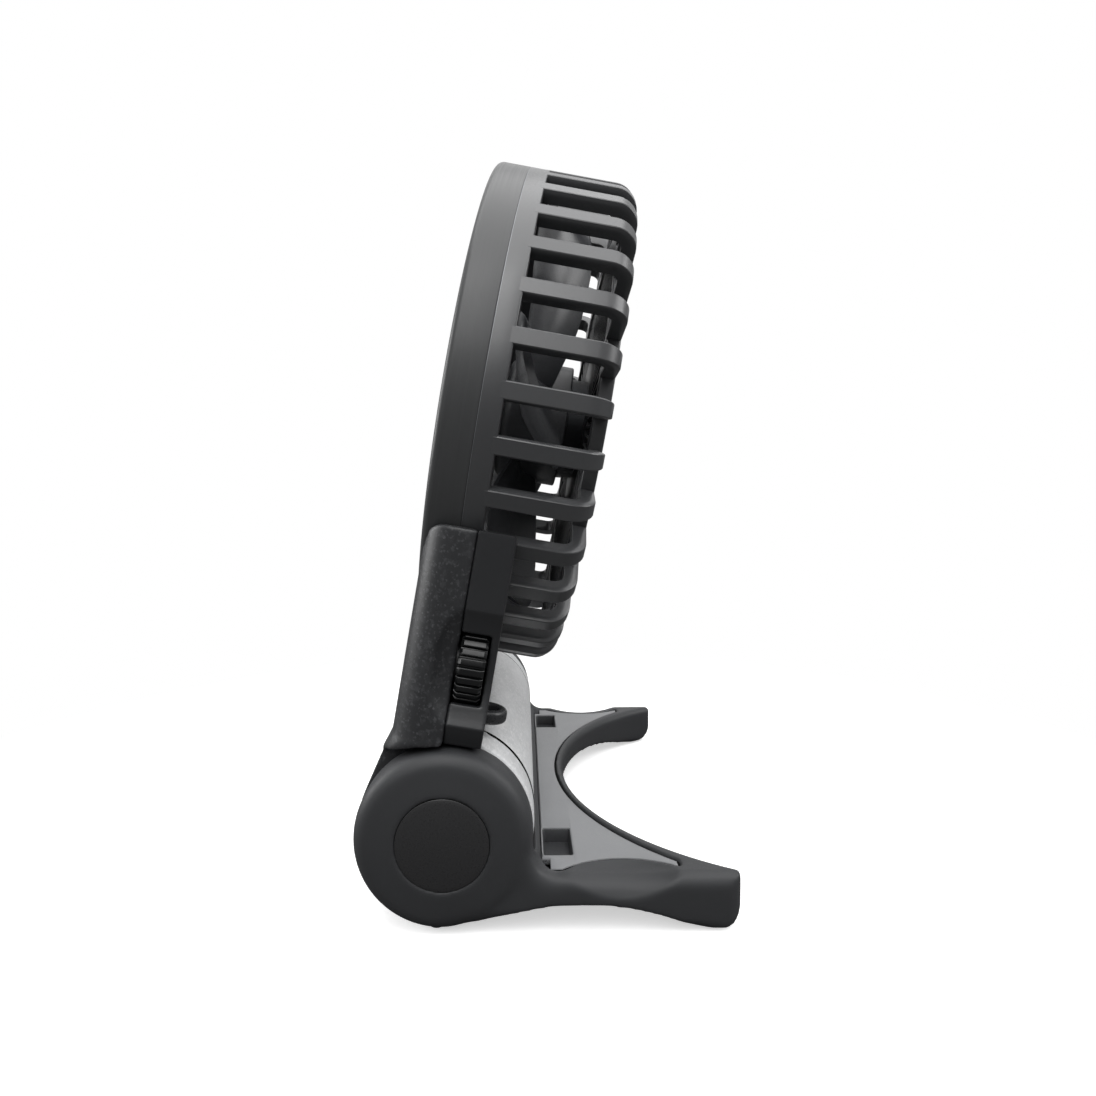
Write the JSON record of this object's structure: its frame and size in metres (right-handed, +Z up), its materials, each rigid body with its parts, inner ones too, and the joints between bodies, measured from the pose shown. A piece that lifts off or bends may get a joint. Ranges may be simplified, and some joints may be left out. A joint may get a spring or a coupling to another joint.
{
  "type": "folding handheld fan",
  "caption": "Round caged fan on a crescent body that tilts on a crescent stand, folds flat against it, and has a ridged thumb dial on its side.",
  "frame": {"origin": "on the table under the middle of the whole fan, at its rest tilt", "axes": "+X to the side with the thumb dial, -Y to the front that the air blows to, +Z up"},
  "size_m": [0.116, 0.0738, 0.1601],
  "materials": {
    "dark_case": "satin charcoal moulded plastic",
    "stand_case": "satin charcoal moulded plastic",
    "grey_plate": "fine satin mid grey plastic",
    "speckled_shell": "satin plastic with pale flecks",
    "light_speckled": "light satin plastic with fine flecks",
    "cap": "smooth satin plastic",
    "foot": "soft rubber",
    "steel": "zinc plated steel",
    "bright_steel": "ground steel",
    "washer": "acetal",
    "ring": "satin charcoal moulded plastic",
    "grille": "satin moulded plastic",
    "cage": "satin charcoal moulded plastic",
    "blade": "semi gloss moulded plastic",
    "motor_plastic": "nylon",
    "magnet": "sintered ferrite",
    "winding": "enamelled copper on a steel core",
    "dial": "glossy ridged plastic",
    "switch": "moulded plastic",
    "board": "solder mask on glass fibre board",
    "cell": "steel can in a shrink sleeve",
    "cradle": "natural ABS",
    "contact": "nickel plated brass"
  },
  "bodies": {
    "stand": {"stand_frame": "stand_case", "stand_cover_plate": "grey_plate", "stand_feet": "foot", "stand_screws": "steel", "pivot_cap_left": "cap", "pivot_cap_right": "cap", "hinge_pins": "steel", "hinge_clips": "steel", "friction_washers": "washer"},
    "head": {"front_body_shell": "speckled_shell", "rear_body_shell": "dark_case", "drum_rear_cover": "light_speckled", "strap_eye": "dark_case", "body_screws": "steel", "front_bezel": "ring", "front_grille": "grille", "grille_hub_disc": "ring", "rear_cage": "cage", "rear_grille": "grille", "motor_can": "steel", "motor_end_cap": "motor_plastic", "motor_bearings": "bright_steel", "motor_magnets": "magnet", "motor_screws": "steel", "dial_switch": "switch", "control_board": "board", "charge_board": "board", "charge_socket": "bright_steel", "battery_cell": "cell", "battery_cradle": "cradle", "battery_contacts": "contact"},
    "fan": {"fan_impeller": "blade", "motor_rotor": "winding", "motor_shaft": "bright_steel"},
    "dial": {"speed_dial": "dial", "dial_axle": "steel"}
  },
  "joints": [
    {"name": "head_tilt", "type": "hinge", "parent": "stand", "child": "head", "pos_m": [0, -0.0196, 0.0177], "axis": [-1, 0, 0], "range_deg": [-100, 80]},
    {"name": "fan_spin", "type": "hinge", "parent": "head", "child": "fan", "pos_m": [0, -0.00496, 0.10072], "axis": [0, -0.9848, 0.1736], "continuous": true},
    {"name": "dial_turn", "type": "hinge", "parent": "head", "child": "dial", "pos_m": [0.0474, -0.01399, 0.04951], "axis": [0, -0.9848, 0.1736], "range_deg": [0, 270]}
  ]
}
